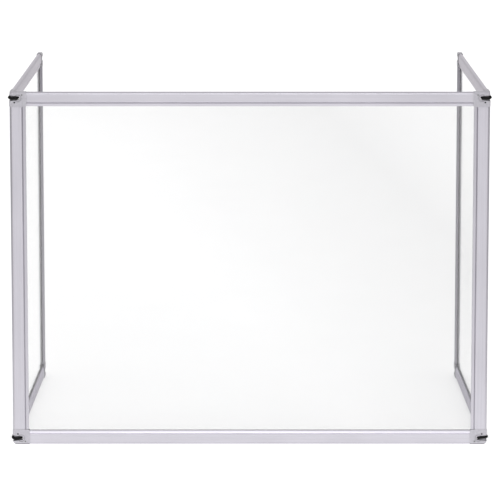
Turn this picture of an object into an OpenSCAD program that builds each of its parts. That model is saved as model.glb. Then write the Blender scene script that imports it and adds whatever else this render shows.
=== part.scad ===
/* [Panels] */
// Width of the front panel
front_w = 1200; // [600:10:2000]
// Depth of each side panel, from its front edge to its rear edge
side_d = 850; // [400:10:1100]
// Height of all three panels
panel_h = 900; // [400:10:1500]
// Angle by which each side panel's rear end stands turned inward
toe_in = 1.5; // [0:0.1:10]
// Gap between the front panel's back and a side panel's front edge
hinge_gap = 1.8; // [1.5:0.1:3]

/* [Frame bars] */
// Thickness of the bars, front to back
bar_t = 12; // [12:0.5:16]
// Visible width of the upright bars
stile_face = 40; // [36:1:50]
// Visible width of the top and bottom bars
rail_face = 36; // [34:1:50]
// Width of the sloped lip beside the pane
lip_w = 8; // [6:0.5:10]
// Thickness of one lip where it meets the pane
lip_tip = 1.3; // [1:0.1:2]
// Width of the V groove between a bar's face and its lip
groove_w = 4.6; // [2:0.1:5]
// Depth of that groove
groove_deep = 2.2; // [0.6:0.1:2.4]
// Wall thickness of the hollow bars
wall = 1.6; // [1.2:0.1:2]

/* [Pane] */
// Thickness of the clear sheets
pane_t = 3; // [2:0.5:4]
// How far a sheet reaches into the bars
pane_bite = 8; // [5:0.5:9]

/* [Corner caps] */
// How far a cap stands out from the bars all round
cap_proud = 0.8; // [0.6:0.1:1.5]
// How far a cap laps over the end of each bar
cap_lap = 1; // [1:0.5:6]
// How far the inner edges of a cap bow outward
cap_bow = 1.5; // [1:0.5:4]
// Radius of a cap's outer corner
cap_corner_r = 11; // [7:0.5:14]
// Rounding of a cap's outer edges
cap_edge_r = 3.5; // [3:0.5:5]

/* [Rubber rings] */
// Thickness of the rubber cord that a ring is made of
ring_cord_d = 6.5; // [5:0.5:7]
// Radius of the link holes that the rings pass through
link_hole_r = 4.2; // [3.6:0.1:5]
// Distance of a link hole from the upright outer edge
link_hole_u = 21.5; // [20:0.5:28]
// Distance of a link hole from the top or bottom edge
link_hole_z = 16.5; // [13:0.5:20]
// Depth of the channels that the rings lie in
channel_deep = 3.6; // [3:0.1:4]

/* [Hidden] */
$fn = 48;
fit_gap = 0.1;            // clearance between pieces that are pushed together

cap_t = bar_t + 2 * cap_proud;
cap_arc_r = 110;          // radius of the bowed inner edges of a cap
// The bars end where the solid corner block of a cap begins.
cap_block_u = cap_proud + stile_face + 0.2;
cap_block_z = cap_proud + rail_face + 0.2;
cap_w = cap_block_u + cap_lap;
cap_h = cap_block_z + cap_lap;
reach = 2 * cap_w;        // longer than any cap
spigot_l = 30;            // how far a cap's spigots reach into the bars

slot_half = pane_t / 2 + fit_gap;
slot_deep = pane_bite + 2;
lip_drop = 0.8;           // step down from a bar's face to the root of its lip
chamber_start = 4;
chamber_end_margin = slot_deep + 3;
chamber_half = bar_t / 2 - wall;

channel_mouth_w = 14;     // at the upright edge, wide enough for a ring to sag in
channel_end_r = 5;        // round end of a channel, about the link hole
relief_r = 7.6;           // shallow round groove about each link hole
relief_w = 1.5;
relief_deep = 0.8;

screw_r = 2;
screw_hole_deep = 8.5;
// Places of the two screws of a cap, and how far their heads sit below the face.
screw_spots = [[13, 27.3, 3], [31.5, 8.5, 0.7]];

// Each side panel swings about the centre of its front bar's rounded edge.
pivot_u = cap_proud + bar_t / 2;
pivot_x = front_w / 2 - cap_t / 2;
pivot_back = cap_t / 2 + hinge_gap + pivot_u;   // behind the middle of the front panel
ring_off = cap_t / 2 - channel_deep + ring_cord_d / 2 + 0.1;
overall_d = ring_off + ring_cord_d / 2 + pivot_back + (side_d - pivot_u) * cos(toe_in);
front_y = ring_off + ring_cord_d / 2 - overall_d / 2;   // middle of the front panel

// ---- Placing ----
// A panel is drawn with u along X from its first upright edge, its outer face towards -Y, and Z up.

module in_front() {
    translate([-front_w / 2, front_y, 0]) children();
}

module on_right() {
    translate([pivot_x, front_y + pivot_back, 0])
        rotate([0, 0, 90 + toe_in])
            translate([-pivot_u, 0, 0]) children();
}

module on_left() {
    mirror([1, 0, 0]) on_right() children();
}

module at_top() {
    translate([0, 0, panel_h]) mirror([0, 0, 1]) children();
}

module at_far_end(w) {
    translate([w, 0, 0]) mirror([1, 0, 0]) children();
}

// Stands an outline drawn in the panel's plane up, centred on the panel's thickness.
module slab(thick) {
    rotate([90, 0, 0]) linear_extrude(thick, center = true) children();
}

// A round bar through the panel, from depth d0 to depth d1 measured along Y.
module through(u, z, r, d0, d1) {
    translate([u, d1, z]) rotate([90, 0, 0]) cylinder(r = r, h = d1 - d0);
}

// ---- Bars ----

// Outline of a bar without its groove, slot and hollow; grow makes it larger for a socket.
module bar_outline(face, grow = 0) {
    half = bar_t / 2;
    root = face - lip_w;
    translate([half, 0]) circle(r = half + grow);
    polygon([
        [half, -half - grow], [root + grow, -half - grow],
        [root + grow, -half + lip_drop - grow], [face + grow, -slot_half - lip_tip - grow],
        [face + grow, slot_half + lip_tip + grow], [root + grow, half - lip_drop + grow],
        [root + grow, half + grow], [half, half + grow]
    ]);
}

module bar_section(face) {
    difference() {
        bar_outline(face);
        translate([chamber_start, -chamber_half])
            square([face - chamber_end_margin - chamber_start, 2 * chamber_half]);
        translate([face - slot_deep, -slot_half]) square([slot_deep + 1, 2 * slot_half]);
        for (s = [-1, 1])
            translate([face - lip_w, s * bar_t / 2])
                polygon([
                    [-groove_w / 2, 0], [0, groove_deep], [groove_w / 2, 0], [0, -groove_deep]
                ]);
    }
}

module stile() {
    color("silver")
        translate([cap_proud, 0, cap_block_z])
            linear_extrude(panel_h - 2 * cap_block_z) bar_section(stile_face);
}

module rail(w) {
    run = w - 2 * cap_block_u;
    color("silver")
        translate([cap_block_u + run, 0, cap_proud])
            rotate([0, -90, 0]) linear_extrude(run) bar_section(rail_face);
}

// ---- Pane ----

module pane(w) {
    edge_u = cap_proud + stile_face - pane_bite;
    edge_z = cap_proud + rail_face - pane_bite;
    color([0.9, 0.95, 0.97, 0.3])
        translate([edge_u, -pane_t / 2, edge_z])
            cube([w - 2 * edge_u, pane_t, panel_h - 2 * edge_z]);
}

// ---- Corner caps ----

// Section of a cap with a rounded outer edge at u = 0.
module cap_edge(len) {
    half = cap_t / 2;
    for (s = [-1, 1]) translate([cap_edge_r, s * (half - cap_edge_r)]) circle(r = cap_edge_r);
    translate([0, cap_edge_r - half]) square([len, cap_t - 2 * cap_edge_r]);
    translate([cap_edge_r, -half]) square([len - cap_edge_r, cap_t]);
}

module cap_blank() {
    translate([0, 0, cap_corner_r]) linear_extrude(reach - cap_corner_r) cap_edge(reach);
    translate([reach, 0, 0]) rotate([0, -90, 0])
        linear_extrude(reach - cap_corner_r) cap_edge(reach);
    translate([cap_corner_r, 0, cap_corner_r]) rotate([90, 0, 0]) rotate_extrude()
        intersection() {
            translate([cap_corner_r, 0]) mirror([1, 0]) cap_edge(cap_corner_r);
            translate([0, -cap_t]) square([cap_corner_r, 2 * cap_t]);
        }
}

module cap_outline() {
    intersection() {
        translate([cap_w + cap_bow - cap_arc_r, cap_h / 2]) circle(r = cap_arc_r, $fn = 160);
        translate([cap_w / 2, cap_h + cap_bow - cap_arc_r]) circle(r = cap_arc_r, $fn = 160);
    }
}

module cap_sockets() {
    translate([cap_proud, 0, cap_block_z])
        linear_extrude(reach) bar_outline(stile_face, fit_gap);
    translate([cap_block_u + reach, 0, cap_proud])
        rotate([0, -90, 0]) linear_extrude(reach) bar_outline(rail_face, fit_gap);
    translate([cap_block_u - slot_deep, -slot_half, cap_block_z - slot_deep])
        cube([reach, 2 * slot_half, reach]);
}

module cap_spigots() {
    root = 2;
    side = chamber_half - fit_gap;
    first = cap_proud + chamber_start + fit_gap;
    stile_last = cap_proud + stile_face - chamber_end_margin - fit_gap;
    rail_last = cap_proud + rail_face - chamber_end_margin - fit_gap;
    translate([first, -side, cap_block_z - root])
        cube([stile_last - first, 2 * side, spigot_l + root]);
    translate([cap_block_u - root, -side, first])
        cube([spigot_l + root, 2 * side, rail_last - first]);
}

// A channel's outline, in the panel's plane, from outside the upright edge to the link hole.
module channel_outline() {
    mouth = channel_mouth_w / 2;
    translate([link_hole_u, link_hole_z]) circle(r = channel_end_r);
    polygon([
        [-1, link_hole_z - mouth], [channel_deep, link_hole_z - mouth],
        [link_hole_u, link_hole_z - channel_end_r], [link_hole_u, link_hole_z + channel_end_r],
        [channel_deep, link_hole_z + mouth], [-1, link_hole_z + mouth]
    ]);
}

// The link hole, and the channels that lead a ring from it round the upright edge.
module link_cuts() {
    core = cap_t / 2 - channel_deep;
    through(link_hole_u, link_hole_z, link_hole_r, -cap_t, cap_t);
    translate([-1, -cap_t, link_hole_z - channel_mouth_w / 2])
        cube([1 + channel_deep, 2 * cap_t, channel_mouth_w]);
    for (s = [-1, 1])
        translate([0, s * (core + cap_t / 2), 0]) slab(cap_t) channel_outline();
}

module cap_relief() {
    for (s = [-1, 1])
        translate([link_hole_u, s * cap_t / 2, link_hole_z])
            rotate([90, 0, 0]) rotate_extrude()
                translate([relief_r, -relief_deep]) square([relief_w, 2 * relief_deep]);
}

module corner_cap() {
    color("gainsboro") {
        difference() {
            intersection() {
                cap_blank();
                slab(2 * cap_t) cap_outline();
            }
            cap_sockets();
            link_cuts();
            cap_relief();
            for (p = screw_spots)
                through(p[0], p[1], screw_r + fit_gap, -cap_t, screw_hole_deep - cap_t / 2);
        }
        cap_spigots();
    }
}

module cap_screw(p) {
    difference() {
        through(p[0], p[1], screw_r, p[2] - cap_t / 2, screw_hole_deep - cap_t / 2);
        translate([p[0], p[2] - cap_t / 2, p[1]]) rotate([90, 0, 0])
            cylinder(r = 1, h = 1.6, center = true, $fn = 6);
    }
}

module cap_screws(w) {
    color("dimgray")
        for (p = screw_spots) {
            cap_screw(p);
            at_far_end(w) cap_screw(p);
            at_top() {
                cap_screw(p);
                at_far_end(w) cap_screw(p);
            }
        }
}

// ---- Rubber rings ----

// A quarter bend of cord about (x, y), from direction a0 onward.
module ring_bend(x, y, r, a0) {
    translate([x, y, 0]) rotate([0, 0, a0]) rotate_extrude(angle = 90)
        translate([r, 0]) circle(d = ring_cord_d);
}

module ring_run(x, y, len, a) {
    translate([x, y, 0]) rotate([0, 0, a]) rotate([0, 90, 0]) cylinder(d = ring_cord_d, h = len);
}

// The ring of the right front corner, lying flat at height z.
module right_ring(z) {
    bend = 5;
    x0 = front_w / 2 - link_hole_u;
    x1 = front_w / 2;
    y0 = front_y - ring_off;
    y1 = front_y + cap_t / 2 + hinge_gap + link_hole_u;
    run_x = x1 - x0 - 2 * bend;
    run_y = y1 - y0 - 2 * bend;
    color([0.08, 0.08, 0.08]) translate([0, 0, z]) {
        ring_bend(x1 - bend, y1 - bend, bend, 0);
        ring_bend(x0 + bend, y1 - bend, bend, 90);
        ring_bend(x0 + bend, y0 + bend, bend, 180);
        ring_bend(x1 - bend, y0 + bend, bend, 270);
        ring_run(x0 + bend, y0, run_x, 0);
        ring_run(x1, y0 + bend, run_y, 90);
        ring_run(x0 + bend, y1, run_x, 0);
        ring_run(x0, y0 + bend, run_y, 90);
    }
}

module left_ring(z) {
    mirror([1, 0, 0]) right_ring(z);
}

// ---- Front panel ----
in_front() at_top() rail(front_w);  // front_top_rail
in_front() rail(front_w);  // front_bottom_rail
in_front() stile();  // front_left_stile
in_front() at_far_end(front_w) stile();  // front_right_stile
in_front() pane(front_w);  // front_pane
in_front() at_top() corner_cap();  // front_cap_top_left
in_front() at_top() at_far_end(front_w) corner_cap();  // front_cap_top_right
in_front() corner_cap();  // front_cap_bottom_left
in_front() at_far_end(front_w) corner_cap();  // front_cap_bottom_right
in_front() cap_screws(front_w);  // front_cap_screws

// ---- Left side panel ----
on_left() at_top() rail(side_d);  // left_top_rail
on_left() rail(side_d);  // left_bottom_rail
on_left() stile();  // left_front_stile
on_left() at_far_end(side_d) stile();  // left_rear_stile
on_left() pane(side_d);  // left_pane
on_left() at_top() corner_cap();  // left_cap_top_front
on_left() at_top() at_far_end(side_d) corner_cap();  // left_cap_top_rear
on_left() corner_cap();  // left_cap_bottom_front
on_left() at_far_end(side_d) corner_cap();  // left_cap_bottom_rear
on_left() cap_screws(side_d);  // left_cap_screws

// ---- Right side panel ----
on_right() at_top() rail(side_d);  // right_top_rail
on_right() rail(side_d);  // right_bottom_rail
on_right() stile();  // right_front_stile
on_right() at_far_end(side_d) stile();  // right_rear_stile
on_right() pane(side_d);  // right_pane
on_right() at_top() corner_cap();  // right_cap_top_front
on_right() at_top() at_far_end(side_d) corner_cap();  // right_cap_top_rear
on_right() corner_cap();  // right_cap_bottom_front
on_right() at_far_end(side_d) corner_cap();  // right_cap_bottom_rear
on_right() cap_screws(side_d);  // right_cap_screws

// ---- Rubber rings ----
left_ring(panel_h - link_hole_z);  // left_top_ring
left_ring(link_hole_z);  // left_bottom_ring
right_ring(panel_h - link_hole_z);  // right_top_ring
right_ring(link_hole_z);  // right_bottom_ring
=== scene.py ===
import math

import bpy
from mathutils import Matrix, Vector


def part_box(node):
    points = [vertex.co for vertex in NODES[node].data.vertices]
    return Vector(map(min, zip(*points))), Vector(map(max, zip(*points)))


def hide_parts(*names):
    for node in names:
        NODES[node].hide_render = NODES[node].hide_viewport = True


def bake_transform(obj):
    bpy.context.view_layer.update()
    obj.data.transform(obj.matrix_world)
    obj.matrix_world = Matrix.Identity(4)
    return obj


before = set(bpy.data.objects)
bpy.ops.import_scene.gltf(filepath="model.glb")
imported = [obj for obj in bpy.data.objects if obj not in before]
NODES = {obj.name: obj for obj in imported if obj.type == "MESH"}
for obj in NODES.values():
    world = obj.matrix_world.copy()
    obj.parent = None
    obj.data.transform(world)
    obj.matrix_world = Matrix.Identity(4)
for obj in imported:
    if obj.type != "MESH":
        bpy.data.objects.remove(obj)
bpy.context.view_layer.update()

MM = 0.001

# ---- Places, in metres ----

FRONT_RAIL_LOW, FRONT_RAIL_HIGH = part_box("front_top_rail")
FRONT_FACE_Y = FRONT_RAIL_LOW.y
FRONT_MID_Y = (FRONT_RAIL_LOW.y + FRONT_RAIL_HIGH.y) / 2
TOE_IN = math.radians(1.5)   # how far each side panel's rear end is turned inward
GROOVE_Z = 28.8 * MM         # middle of the V groove along a low bar
SLOT_SHADE_START_Z = 34.9 * MM     # painted shade deepens from here up to the next height, just under the slot's mouth
SLOT_SHADE_FULL_Z = 36.2 * MM

SIDES = {"left": -1, "right": 1}

# ---- Camera ----

SENSOR_MM = 36
LENS_MM = 259.92
CAMERA_PITCH = math.radians(9.76)
CAMERA_DISTANCE = 9.059
CAMERA_AIM = Vector((0.0004, FRONT_FACE_Y, 0.4998))


def add_camera():
    data = bpy.data.cameras.new("camera")
    data.sensor_width = SENSOR_MM
    data.lens = LENS_MM
    data.clip_start = 0.1
    data.clip_end = 200
    camera = bpy.data.objects.new("camera", data)
    bpy.context.scene.collection.objects.link(camera)
    back = Vector((0, -math.cos(CAMERA_PITCH), math.sin(CAMERA_PITCH)))
    camera.location = CAMERA_AIM + back * CAMERA_DISTANCE
    camera.rotation_mode = "QUATERNION"
    camera.rotation_quaternion = (-back).to_track_quat("-Z", "Y")
    bpy.context.scene.camera = camera


# ---- Shader building ----

NOISE_SPAN = (0.3, 0.7)      # the values that a noise mostly takes
OPEN_SPAN = (0.3, 0.85)      # from a closed corner to an open face
# samples for the ambient occlusion behind the painted shade
SHADE_SAMPLES = 12


class Shader:
    """A material with one Principled shader, and short calls for the nodes that feed it.

    values are the shader's own constants. A Roughness given here and fed by nodes later stands for
    them wherever a single number is read.
    """

    def __init__(self, name, **values):
        self.material = bpy.data.materials.new(name)
        self.material.use_nodes = True
        self.tree = self.material.node_tree
        self.surface = self.tree.nodes["Principled BSDF"]
        for key, value in values.items():
            self.surface.inputs[key.replace("_", " ")].default_value = value

    def node(self, kind, links=None, **values):
        made = self.tree.nodes.new("ShaderNode" + kind)
        for key, value in values.items():
            setattr(made, key, value)
        for socket, source in (links or {}).items():
            if isinstance(source, bpy.types.NodeSocket):
                self.tree.links.new(source, made.inputs[socket])
            else:
                made.inputs[socket].default_value = source
        return made

    def coordinates(self, scale=(1, 1, 1), rotation=(0, 0, 0)):
        """Places in the row frame, in metres, turned and then stretched."""
        place = self.node("TexCoord").outputs["Object"]
        turned = self.node("Mapping", {"Vector": place, "Rotation": rotation})
        return self.node("Mapping", {"Vector": turned.outputs[0], "Scale": scale}).outputs[0]

    def noise(self, vector, scale, detail=4.0, roughness=0.5):
        links = {"Vector": vector, "Scale": scale, "Detail": detail, "Roughness": roughness}
        return self.node("TexNoise", links).outputs["Fac"]

    def between(self, value, low, high, start=0.0, end=1.0):
        """Maps value from start..end to low..high."""
        links = {"Value": value, "From Min": start, "From Max": end, "To Min": low, "To Max": high}
        return self.node("MapRange", links).outputs[0]

    def math(self, operation, a, b=0.0):
        return self.node("Math", {0: a, 1: b}, operation=operation).outputs[0]

    def mix_colour(self, factor, a, b):
        links = {"Factor": factor, "A": a, "B": b}
        made = self.tree.nodes.new("ShaderNodeMix")
        made.data_type = "RGBA"
        sockets = {"Factor": 0, "A": 6, "B": 7}
        for key, source in links.items():
            if isinstance(source, bpy.types.NodeSocket):
                self.tree.links.new(source, made.inputs[sockets[key]])
            else:
                made.inputs[sockets[key]].default_value = source
        return made.outputs[2]

    def bump(self, height, distance, strength):
        links = {"Height": height, "Distance": distance, "Strength": strength}
        return self.node("Bump", links).outputs[0]

    def painted_shade(self, distance, dark):
        """Painted shade: a factor that falls to dark in corners and gaps narrower than distance."""
        occlusion = self.node("AmbientOcclusion", {"Distance": distance}, samples=SHADE_SAMPLES)
        return self.between(occlusion.outputs["AO"], dark, 1.0, *OPEN_SPAN)

    def feed(self, socket, source):
        self.tree.links.new(source, self.surface.inputs[socket])


def grey(level):
    return (level, level, level, 1)


def lilac(level):
    """The faintly violet grey of the anodised bars and of the caps."""
    return (level, 0.972 * level, 1.06 * level, 1)


# ---- Materials ----


def aluminium(name, rotation, sheen=0.8, gap_shade=0.68, low=False):
    """Satin anodised bar. rotation turns the bar's length onto X, so the drawing lines run along it.

    sheen tints the glancing reflections; the argument after it sets how dark the painted shade in narrow
    gaps gets. A low bar has a band of painted shade near the mouth of its slot and a painted highlight
    in its groove, standing for the table's light.
    """
    shader = Shader("aluminium_" + name, Metallic=1.0)
    shader.surface.inputs["Specular Tint"].default_value = lilac(sheen)
    lines = shader.noise(shader.coordinates((2.5, 900, 900), rotation), 1.0, 5.0, 0.62)
    bands = shader.noise(shader.coordinates((0.8, 120, 120), rotation), 1.0, 2.0)
    clouds = shader.noise(shader.coordinates((6, 14, 14), rotation), 1.0, 3.0)
    grain = shader.noise(shader.coordinates((9000, 9000, 9000)), 1.0, 2.0)
    drawn = shader.between(lines, 0.9, 1.08, *NOISE_SPAN)
    tone = shader.math("MULTIPLY", drawn, shader.between(bands, 0.96, 1.03))
    base = shader.mix_colour(shader.between(clouds, 0, 1, *NOISE_SPAN), lilac(0.42), lilac(0.455))
    # painted shade in the bar's narrow gaps and corners
    tone = shader.math("MULTIPLY", tone, shader.painted_shade(4 * MM, gap_shade))
    if low:
        height = shader.node("SeparateXYZ", {"Vector": shader.coordinates()}).outputs["Z"]
        # painted highlight in the V groove, standing for the light the table throws into it
        groove = shader.math("ABSOLUTE", shader.math("SUBTRACT", height, GROOVE_Z))
        tone = shader.math("MULTIPLY", tone, shader.between(groove, 1.6, 1, 0.5 * MM, 3 * MM))
        # painted shade just under the mouth of the slot, where the sheet meets the lip
        tone = shader.math("MULTIPLY", tone, shader.between(height, 1, 0.35, SLOT_SHADE_START_Z, SLOT_SHADE_FULL_Z))
    shader.feed("Base Color", shade(shader, base, tone))
    fine_rough = shader.between(lines, 0.3, 0.42, *NOISE_SPAN)
    rough = shader.math("ADD", fine_rough, shader.between(clouds, -0.03, 0.05))
    shader.feed("Roughness", rough)
    relief = shader.math("ADD", lines, shader.math("MULTIPLY", grain, 0.5))
    shader.feed("Normal", shader.bump(relief, 0.03 * MM, 0.6))
    return shader.material


def shade(shader, colour, factor):
    """colour times factor."""
    factors = shader.node("CombineXYZ", {"X": factor, "Y": factor, "Z": factor}).outputs[0]
    return shader.node("VectorMath", {0: colour, 1: factors}, operation="MULTIPLY").outputs[0]


def cap_plastic():
    shader = Shader("cap_plastic", Roughness=0.45)
    place = shader.coordinates()
    mottle = shader.noise(place, 260, 4.0)
    texture = shader.noise(place, 2600, 3.0, 0.6)
    base = shader.mix_colour(shader.between(mottle, 0, 1, *NOISE_SPAN), lilac(0.34), lilac(0.45))
    # painted shade: the caps go darker in corners and gaps, such as along their joins with the bars
    shader.feed("Base Color", shade(shader, base, shader.painted_shade(5 * MM, 0.1)))
    shader.feed("Roughness", shader.between(mottle, 0.38, 0.52))
    shader.feed("Normal", shader.bump(texture, 0.06 * MM, 0.7))
    return shader.material


# The painted reflection band, which darkens the sheet, is read along X plus Z, in metres, so it crosses
# the sheet towards its upper right.
REFLECTION_BAND_START = 0.33
REFLECTION_BAND_PEAK = 1.04
REFLECTION_BAND_END = 1.28


def clear_sheet(name, alpha):
    """Clear acrylic with a faint grey haze in random clouds, and a painted reflection that darkens it in
    a soft diagonal band at the upper right.

    Below 1, alpha lets light straight through at a glancing view.
    """
    shader = Shader(name, Roughness=0.0, IOR=1.49, Alpha=alpha)
    shader.surface.inputs["Transmission Weight"].default_value = 1.0
    place = shader.coordinates()
    axes = shader.node("SeparateXYZ", {"Vector": place}).outputs
    # painted reflection: a darker diagonal band towards the upper right; the random clouds added to it
    # are the sheet's own haze
    across = shader.math("ADD", axes["X"], axes["Z"])
    rising = shader.between(across, 0, 1, REFLECTION_BAND_START, REFLECTION_BAND_PEAK)
    reflection_band = shader.math("MULTIPLY", rising, shader.between(across, 1, 0.5, REFLECTION_BAND_PEAK, REFLECTION_BAND_END))
    smear = shader.math("MULTIPLY", shader.noise(place, 60, 2.0), 0.08)
    cloud = shader.math("ADD", shader.noise(place, 1.6, 3.0), smear)
    reflection_and_clouds = shader.math("ADD", reflection_band, shader.between(cloud, -0.06, 0.06, 0.3, 0.75))
    shader.feed("Base Color", shader.mix_colour(reflection_and_clouds, (0.87, 0.87, 0.872, 1), (0.76, 0.76, 0.762, 1)))
    wave = shader.noise(place, 1.7, 2.0)
    shader.feed("Normal", shader.bump(wave, 1.5 * MM, 0.3))
    return shader.material


def ring_rubber():
    shader = Shader("ring_rubber", Roughness=0.42)
    shader.surface.inputs["Specular IOR Level"].default_value = 0.12
    place = shader.coordinates()
    bloom = shader.noise(place, 220, 4.0)
    texture = shader.noise(place, 3500, 3.0)
    shader.feed("Base Color", shader.mix_colour(bloom, grey(0.001), grey(0.004)))
    shader.feed("Roughness", shader.between(bloom, 0.34, 0.55))
    shader.feed("Normal", shader.bump(texture, 0.05 * MM, 0.6))
    return shader.material


def screw_steel():
    shader = Shader("screw_steel", Metallic=1.0, Roughness=0.4)
    place = shader.coordinates()
    stain = shader.noise(place, 900, 4.0)
    base = shader.mix_colour(stain, grey(0.2), grey(0.35))
    # painted shade: the heads go dark, down to black, at the bottom of their deep holes
    shader.feed("Base Color", shade(shader, base, shader.painted_shade(6 * MM, 0.0)))
    shader.feed("Roughness", shader.between(stain, 0.3, 0.55))
    return shader.material


def floor_finish():
    """A pale sweep that glows along its middle, as a backlit light table does."""
    shader = Shader("floor_finish", Roughness=0.8)
    place = shader.coordinates()
    speckle = shader.noise(place, 5, 3.0)
    shader.feed("Base Color", shader.mix_colour(speckle, grey(0.58), grey(0.62)))
    axes = shader.node("SeparateXYZ", {"Vector": place}).outputs
    aside = shader.math("ABSOLUTE", axes["X"])
    beyond = shader.math("SUBTRACT", aside, shader.math("MULTIPLY", axes["Y"], GLOW_SPREAD))
    strip = shader.between(beyond, FLOOR_GLOW, FLOOR_REST, *GLOW_EDGE)
    near = shader.between(axes["Y"], FRONT_GLOW, NEAR_GLOW, *NEAR_RISE)
    front = shader.math("MULTIPLY", near, shader.between(axes["Y"], 1, 0, *FRONT_FADE))
    front = shader.math("MULTIPLY", front, shader.between(aside, 1, 0, *FRONT_EDGE))
    shader.feed("Emission Strength", shader.math("ADD", strip, front))
    shader.surface.inputs["Emission Color"].default_value = (1, 1, 1, 1)
    return shader.material


def bar_finishes():
    """The finish for each ending of a bar's name. The first ending that fits is used."""
    upright = (0, math.pi / 2, 0)
    made = {
        "front_top_rail": aluminium("front_top", (0, 0, 0)),
        "front_bottom_rail": aluminium("front_bottom", (0, 0, 0), gap_shade=0.9, low=True),
        # the rear uprights get the darkest painted shade in their gaps
        "rear_stile": aluminium("rear_upright", upright, sheen=0.47, gap_shade=0.25),
        "stile": aluminium("upright", upright, gap_shade=0.95),
    }
    for name, s in SIDES.items():
        along = (0, 0, -math.pi / 2 - s * TOE_IN)
        made[name + "_top_rail"] = aluminium(name + "_top", along, sheen=1.0)
        made[name + "_bottom_rail"] = aluminium(name + "_bottom", along, low=True)
    return made


def paint_frame():
    bars = bar_finishes()
    plastic, steel = cap_plastic(), screw_steel()
    sheet, side_sheet = clear_sheet("clear_sheet", 1), clear_sheet("clear_side_sheet", 0.2)
    for name, node in NODES.items():
        finish = next((made for ending, made in bars.items() if name.endswith(ending)), None)
        if "_cap_screws" in name:
            finish = steel
        elif "_cap_" in name:
            finish = plastic
        elif name.endswith("_pane"):
            finish = sheet if name.startswith("front") else side_sheet
        if finish is not None:
            node.data.materials.clear()
            node.data.materials.append(finish)


# ---- Rubber rings ----

CORD_R = 3.25 * MM
CORD_SIDES = 20
FLASH = 0.05              # how far the mould's flash line stands out, as a share of the radius
BEND_R = 4.2 * MM
POINT_STEP = 1.2 * MM
MIDDLE_SHARE = 0.7        # where a front run has its middle height, on its way from hole to edge
THROUGH_SIDE = 13.7 * MM  # a ring's run through a side panel's cap, which is 13.6 mm thick


def turned(start, end, share):
    """The arm start swung by share of the way to the arm end."""
    return start.normalized().slerp(end.normalized(), share) * start.length


def rounded_path(corners, radius, steps=8):
    """A closed path through corners, each rounded by an arc."""
    points = []
    count = len(corners)
    for i, corner in enumerate(corners):
        before = (corners[i - 1] - corner).normalized()
        after = (corners[(i + 1) % count] - corner).normalized()
        half = before.angle(after) / 2
        reach = radius / math.tan(half)
        centre = corner + (before + after).normalized() * radius / math.sin(half)
        start = corner + before * reach - centre
        end = corner + after * reach - centre
        for k in range(steps + 1):
            points.append(centre + turned(start, end, k / steps))
    return points


def tube(name, path, radius):
    """A closed cord along path, with the fine flash line that its mould leaves."""
    count = len(path)
    verts, faces = [], []
    for i, point in enumerate(path):
        along = (path[(i + 1) % count] - path[i - 1]).normalized()
        side = along.cross(Vector((0, 0, 1))).normalized()
        up = side.cross(along)
        for j in range(CORD_SIDES):
            angle = 2 * math.pi * j / CORD_SIDES
            flash = FLASH if j in (0, CORD_SIDES // 2) else 0.0
            r = radius * (1 + flash)
            verts.append(point + side * r * math.cos(angle) + up * r * math.sin(angle))
    for i in range(count):
        for j in range(CORD_SIDES):
            a, b = i * CORD_SIDES + j, i * CORD_SIDES + (j + 1) % CORD_SIDES
            c, d = (b + CORD_SIDES) % len(verts), (a + CORD_SIDES) % len(verts)
            faces.append((a, b, c, d))
    mesh = bpy.data.meshes.new(name)
    mesh.from_pydata(verts, [], faces)
    mesh.update()
    for polygon in mesh.polygons:
        polygon.use_smooth = True
    made = bpy.data.objects.new(name, mesh)
    bpy.context.scene.collection.objects.link(made)
    return made


def spaced(points, step):
    """The closed path again, with points no more than step apart."""
    made = []
    for i, point in enumerate(points):
        span = points[(i + 1) % len(points)] - point
        parts = max(1, math.ceil(span.length / step))
        made += [point + span * k / parts for k in range(parts)]
    return made


def hang(share, hole, middle, outer):
    """Height of a ring's front run at share of the way from its hole to the upright edge."""
    if share < MIDDLE_SHARE:
        part = share / MIDDLE_SHARE
        return hole + (middle - hole) * part * part * (3 - 2 * part)
    return middle + (outer - middle) * ((share - MIDDLE_SHARE) / (1 - MIDDLE_SHARE)) ** 2


def add_ring(side, level, heights, finish):
    s = SIDES[side]
    node = f"{side}_{level}_ring"
    low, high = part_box(node)
    z = (low.z + high.z) / 2
    outer = (high.x if s > 0 else low.x) - s * CORD_R
    hole = (low.x if s > 0 else high.x) + s * CORD_R
    front, rear = low.y + CORD_R, high.y - CORD_R
    inner_x = outer - s * THROUGH_SIDE
    back = FRONT_MID_Y + (FRONT_MID_Y - front)
    corners = [
        Vector((hole, front, z)), Vector((outer, front, z)), Vector((outer, rear, z)),
        Vector((inner_x, rear, z)), Vector((hole, back, z)),
    ]
    path = spaced(rounded_path(corners, BEND_R), POINT_STEP)
    for point in path:
        share = min(max(abs(point.x - hole) / abs(outer - hole), 0), 1)
        if point.y < FRONT_MID_Y:
            point.z += hang(share, *heights)
        else:
            rest = share ** 4 * (rear - point.y) / (rear - FRONT_MID_Y)
            point.z += heights[0] + (heights[2] - heights[0]) * rest
    ring = tube(node + "_cord", path, CORD_R)
    ring.data.materials.append(finish)
    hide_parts(node)
    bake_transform(ring)


def add_rings():
    """Each ring hangs in its own way.

    Its three heights are at its hole, at MIDDLE_SHARE of its front run and at the upright edge.
    """
    finish = ring_rubber()
    add_ring("left", "top", (0.6 * MM, -0.4 * MM, 1.7 * MM), finish)
    add_ring("right", "top", (0.5 * MM, -0.2 * MM, 1.8 * MM), finish)
    add_ring("left", "bottom", (0.75 * MM, -1.2 * MM, 2.0 * MM), finish)
    add_ring("right", "bottom", (0.75 * MM, 2.4 * MM, 3.5 * MM), finish)


# ---- Stage ----

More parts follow.
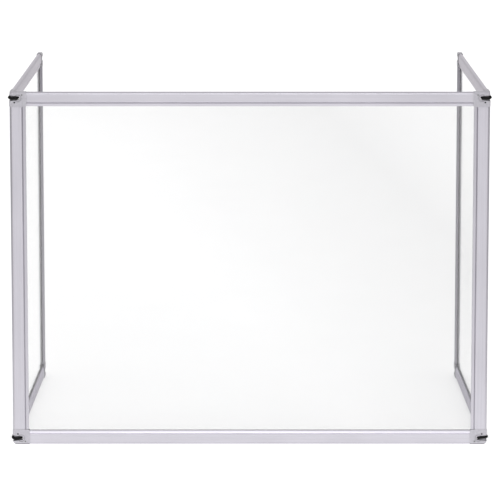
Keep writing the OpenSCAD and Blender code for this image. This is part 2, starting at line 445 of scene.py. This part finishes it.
FLOOR_HALF = 60
FLOOR_GLOW = 0.57            # along the middle
FLOOR_REST = 0.25            # far to the sides
GLOW_EDGE = (0.85, 2.6)      # distances from the middle, from FLOOR_GLOW to FLOOR_REST
GLOW_SPREAD = 0.055          # how fast the glowing middle widens towards the back
FRONT_GLOW = 0.42            # added in front of the object
NEAR_GLOW = 0.66             # added close to its front
NEAR_RISE = (-1.2, -0.5)     # Y, from FRONT_GLOW to NEAR_GLOW
FRONT_FADE = (-0.45, -0.38)  # Y, where the added glow fades out
FRONT_EDGE = (0.7, 2.6)      # distances from the middle, where it fades out to the sides
SIDE_LEVEL = 0.3
FRONT_LEVEL = 1.1
BACK_LEVEL = 1.1
CEILING_LEVEL = 1.1
END_SPAN = (0.8, 0.97)       # Y of a direction, from the dim sides to a bright end
CEILING_SPAN = (0.3, 0.9)    # Z of a direction, from the walls to the ceiling

KEY_PLACE = Vector((0, -6.5, 3.2))
KEY_AIM = Vector((0, 0, 0.45))
KEY_SIZE = 3.0
KEY_POWER = 90


def add_floor():
    h = FLOOR_HALF
    mesh = bpy.data.meshes.new("floor")
    mesh.from_pydata([(-h, -h, 0), (h, -h, 0), (h, h, 0), (-h, h, 0)], [], [(0, 1, 2, 3)])
    floor = bpy.data.objects.new("floor", mesh)
    bpy.context.scene.collection.objects.link(floor)
    mesh.materials.append(floor_finish())


def add_area(name, place, aim, size, power):
    data = bpy.data.lights.new(name, "AREA")
    data.size = size
    data.energy = power
    lamp = bpy.data.objects.new(name, data)
    lamp.location = place
    lamp.rotation_mode = "QUATERNION"
    lamp.rotation_quaternion = (aim - place).to_track_quat("-Z", "Y")
    bpy.context.scene.collection.objects.link(lamp)


def map_range(tree, source, start, end, low, high):
    made = tree.nodes.new("ShaderNodeMapRange")
    made.interpolation_type = "SMOOTHSTEP"
    made.inputs["From Min"].default_value = start
    made.inputs["From Max"].default_value = end
    for key, value in (("Value", source), ("To Min", low), ("To Max", high)):
        if isinstance(value, bpy.types.NodeSocket):
            tree.links.new(value, made.inputs[key])
        else:
            made.inputs[key].default_value = value
    return made.outputs[0]


def add_studio():
    """A bright ceiling and two bright ends, with darker sides."""
    world = bpy.data.worlds.new("studio")
    bpy.context.scene.world = world
    world.use_nodes = True
    tree = world.node_tree
    direction = tree.nodes.new("ShaderNodeTexCoord").outputs["Generated"]
    parts = tree.nodes.new("ShaderNodeSeparateXYZ")
    tree.links.new(direction, parts.inputs[0])
    start, full = END_SPAN
    fronted = map_range(tree, parts.outputs["Y"], -start, -full, SIDE_LEVEL, FRONT_LEVEL)
    horizon = map_range(tree, parts.outputs["Y"], start, full, fronted, BACK_LEVEL)
    level = map_range(tree, parts.outputs["Z"], *CEILING_SPAN, horizon, CEILING_LEVEL)
    background = tree.nodes["Background"]
    background.inputs["Color"].default_value = (1, 1, 1, 1)
    tree.links.new(level, background.inputs["Strength"])
    bpy.context.scene.view_settings.view_transform = "Standard"


add_camera()
add_studio()
add_area("key", KEY_PLACE, KEY_AIM, KEY_SIZE, KEY_POWER)
add_floor()
paint_frame()
add_rings()
